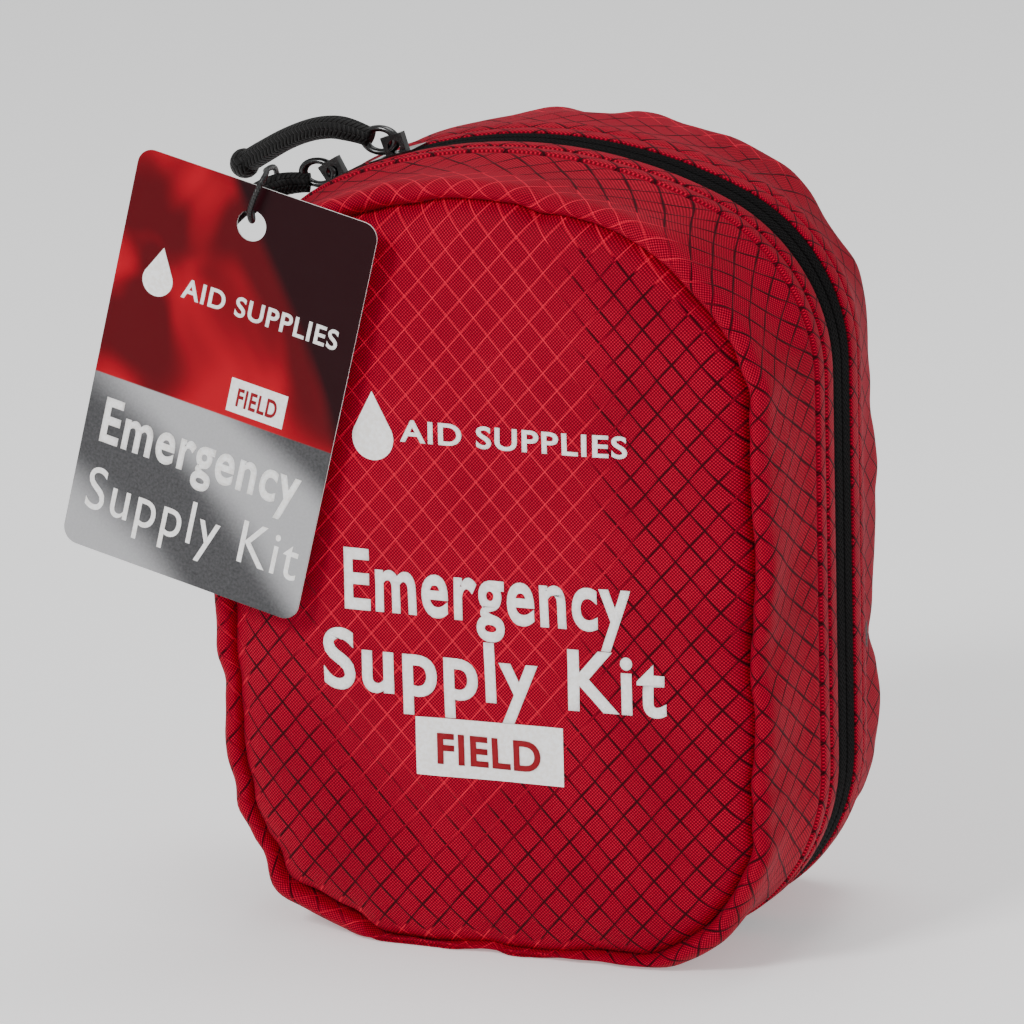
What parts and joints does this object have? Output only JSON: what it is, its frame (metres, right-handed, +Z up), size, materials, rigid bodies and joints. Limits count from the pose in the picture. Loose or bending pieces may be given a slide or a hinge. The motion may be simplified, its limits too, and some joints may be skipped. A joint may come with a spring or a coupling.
{
  "type": "bleeding control pouch",
  "caption": "Zippered soft pouch, opened like a book, that holds a folded windlass tourniquet, dressings, gloves and shears, with cord zipper pulls and a hang tag.",
  "frame": {"origin": "middle of the flat base, in the plane where the two halves meet", "axes": "+X to the right, -Y out of the front panel, +Z up"},
  "size_m": [0.182, 0.0993, 0.1946],
  "materials": {
    "pouch_fabric": "coated diamond ripstop nylon",
    "padding_foam": "closed-cell foam",
    "lining_fabric": "plain woven nylon",
    "binding_tape": "woven bias tape",
    "zipper_tape": "herringbone woven polyester",
    "zipper_coil": "moulded nylon coil",
    "slider_metal": "gloss black enamel",
    "pull_cord": "braided polyester cord",
    "cord_end": "moulded rubber-like end",
    "string_cord": "waxed string",
    "tag_card": "laminated card",
    "webbing": "woven nylon webbing",
    "black_plastic": "moulded nylon",
    "time_label": "white woven strap",
    "elastic": "knitted elastic",
    "net": "knitted net",
    "dressing_wrap": "sealed film pack",
    "gauze_wrap": "vacuum film pack",
    "glove_wrap": "film sleeve with nitrile gloves",
    "shears_steel": "ground stainless steel with moulded loops"
  },
  "bodies": {
    "rear_half": {"rear_panel": "pouch_fabric", "rear_padding": "padding_foam", "rear_lining": "lining_fabric", "rear_binding": "binding_tape", "rear_gusset": "pouch_fabric", "rear_zipper_tape": "zipper_tape", "rear_zipper_coil": "zipper_coil", "hinge_strip": "pouch_fabric", "tourniquet_band": "webbing", "backplate": "black_plastic", "windlass_ribbon": "webbing", "windlass_clip": "black_plastic", "band_buckle": "black_plastic", "strap_lower": "elastic", "strap_upper": "elastic"},
    "front_half": {"front_panel": "pouch_fabric", "front_padding": "padding_foam", "front_lining": "lining_fabric", "front_binding": "binding_tape", "front_gusset": "pouch_fabric", "front_zipper_tape": "zipper_tape", "front_zipper_coil": "zipper_coil", "mesh_pocket": "net", "pocket_elastic": "elastic", "pressure_dressing": "dressing_wrap", "gauze_pack": "gauze_wrap", "glove_pouch": "glove_wrap", "shears_fixed_half": "shears_steel", "shears_rivet": "shears_steel"},
    "slider_1": {"slider_1_body": "slider_metal"},
    "slider_2": {"slider_2_body": "slider_metal"},
    "pull_1": {"pull_ring_1": "slider_metal", "pull_cord_1": "pull_cord", "pull_end_1": "cord_end"},
    "pull_2": {"pull_ring_2": "slider_metal", "pull_cord_2": "pull_cord", "pull_end_2": "cord_end", "tag_string": "string_cord", "string_knot": "string_cord"},
    "tag": {"hang_tag": "tag_card"},
    "windlass": {"windlass_rod": "black_plastic"},
    "time_flap": {"time_strap": "time_label"},
    "shears_moving": {"shears_moving_half": "shears_steel"}
  },
  "joints": [
    {"name": "case_open", "type": "hinge", "parent": "rear_half", "child": "front_half", "pos_m": [-0.0753, 0, 0], "axis": [0, 0, -1], "range_deg": [0, 150]},
    {"name": "slider_1_run", "type": "hinge", "parent": "front_half", "child": "slider_1", "pos_m": [0, 0, 0.072], "axis": [0, 1, 0], "range_deg": [0, 39]},
    {"name": "slider_2_run", "type": "hinge", "parent": "front_half", "child": "slider_2", "pos_m": [-0.031, 0, 0.14139], "axis": [0, -1, 0], "range_deg": [0, 15]},
    {"name": "pull_1_swing", "type": "hinge", "parent": "slider_1", "child": "pull_1", "pos_m": [-0.03911, 0, 0.18756], "axis": [0, 1, 0], "range_deg": [-8, 70]},
    {"name": "pull_2_swing", "type": "hinge", "parent": "slider_2", "child": "pull_2", "pos_m": [-0.05558, 0, 0.18027], "axis": [0, 1, 0], "range_deg": [-5, 15]},
    {"name": "tag_swing", "type": "hinge", "parent": "pull_2", "child": "tag", "pos_m": [-0.0542, -0.0503, 0.1778], "axis": [0, 1, 0], "range_deg": [-20, 20]},
    {"name": "windlass_turn", "type": "hinge", "parent": "rear_half", "child": "windlass", "pos_m": [0, 0.0156, 0.095], "axis": [0, -1, 0], "range_deg": [0, 150]},
    {"name": "time_strap_lift", "type": "hinge", "parent": "rear_half", "child": "time_flap", "pos_m": [0.0082, 0.00995, 0.143], "axis": [0, 0, 1], "range_deg": [0, 100]},
    {"name": "shears_open", "type": "hinge", "parent": "front_half", "child": "shears_moving", "pos_m": [0.014, -0.03, 0.096], "axis": [0, 1, 0], "range_deg": [0, 38]}
  ]
}
